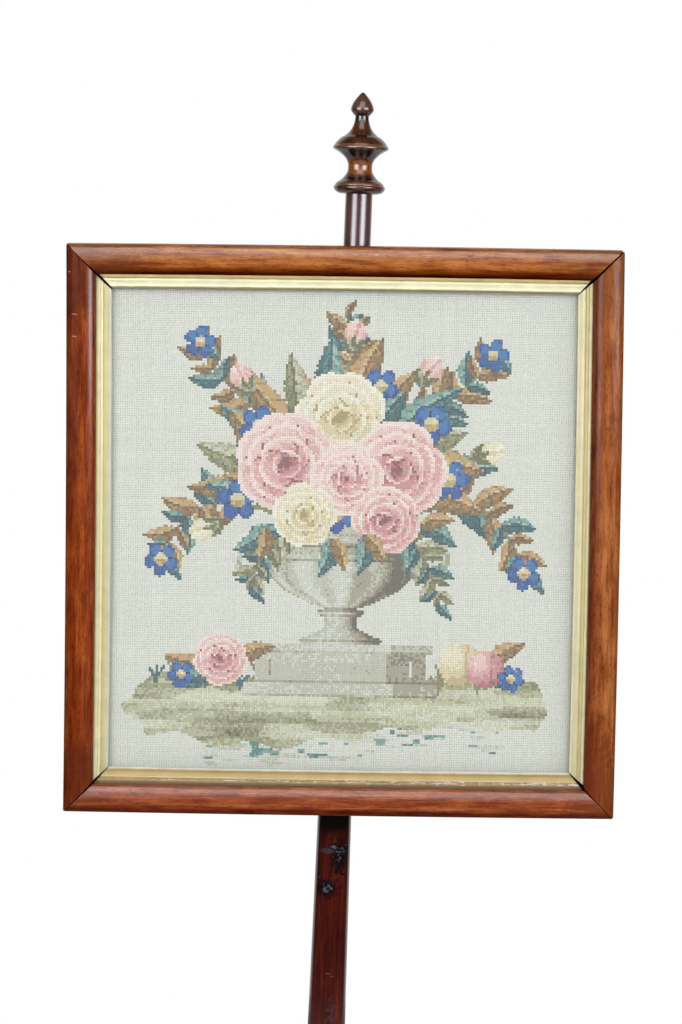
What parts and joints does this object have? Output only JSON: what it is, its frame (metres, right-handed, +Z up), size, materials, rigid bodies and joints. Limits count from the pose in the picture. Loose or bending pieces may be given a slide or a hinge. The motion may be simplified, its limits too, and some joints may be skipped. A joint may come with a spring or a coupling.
{
  "type": "pole screen",
  "caption": "Pole screen: a glazed needlework panel in a half-round frame, clamped by a sprung collar to a turned pole with a finial, on a tripod base.",
  "frame": {"origin": "centre of the footprint's box on the floor; the pole's axis stands at y = +52 mm", "axes": "+Z up along the pole, -Y to the front where the needlework faces, +X to the right seen from the front"},
  "size_m": [0.4824, 0.3562, 1.5049],
  "materials": {
    "polished_mahogany": "French polished",
    "dark_mahogany": "French polished, turned",
    "gilt_gesso": "water gilt on gesso, worn",
    "window_glass": "clear",
    "wool_canvas": "wool stitches on canvas",
    "pine": "planed, aged",
    "aged_brass": "cast and turned, aged",
    "wrought_iron": "black, dull",
    "cut_steel": "dark, aged"
  },
  "bodies": {
    "stand": {"column": "dark_mahogany", "leg_front": "dark_mahogany", "leg_left": "dark_mahogany", "leg_right": "dark_mahogany", "spider_plate": "wrought_iron", "spider_screws": "cut_steel"},
    "pole": {"pole": "dark_mahogany"},
    "finial": {"finial": "dark_mahogany"},
    "panel": {"frame_bottom_rail": "polished_mahogany", "frame_left_stile": "polished_mahogany", "frame_top_rail": "polished_mahogany", "frame_right_stile": "polished_mahogany", "mitre_nails": "cut_steel", "slip_bottom": "gilt_gesso", "slip_left": "gilt_gesso", "slip_top": "gilt_gesso", "slip_right": "gilt_gesso", "glass": "window_glass", "needlework": "wool_canvas", "strainer_bottom": "pine", "strainer_left": "pine", "strainer_top": "pine", "strainer_right": "pine", "canvas_tacks": "cut_steel", "backboard": "pine", "backboard_brads": "cut_steel", "upper_bracket": "aged_brass", "lower_bracket": "aged_brass", "bracket_screws": "aged_brass", "leaf_spring": "aged_brass"},
    "pad": {"pressure_pad": "aged_brass"},
    "thumbscrew": {"thumbscrew": "aged_brass"}
  },
  "joints": [
    {"name": "pole_turn", "type": "hinge", "parent": "stand", "child": "pole", "pos_m": [0, 0.052, 0.446], "axis": [0, 0, 1], "continuous": true},
    {"name": "finial_lift", "type": "slide", "parent": "pole", "child": "finial", "axis": [0, 0, 1], "range_m": [0, 0.03]},
    {"name": "panel_slide", "type": "slide", "parent": "pole", "child": "panel", "axis": [0, 0, 1], "range_m": [-0.2, 0.045], "deforming": ["leaf_spring"]},
    {"name": "pad_slide", "type": "slide", "parent": "panel", "child": "pad", "axis": [0, 1, 0], "range_m": [0, 0.0025]},
    {"name": "screw_turn", "type": "hinge", "parent": "pad", "child": "thumbscrew", "pos_m": [0, 0.07, 1.3635], "axis": [0, 1, 0], "range_deg": [0, 730]}
  ],
  "couplings": [
    {"joint": "screw_turn", "follows": "pad_slide", "rad_per_m": 5026.5}
  ]
}
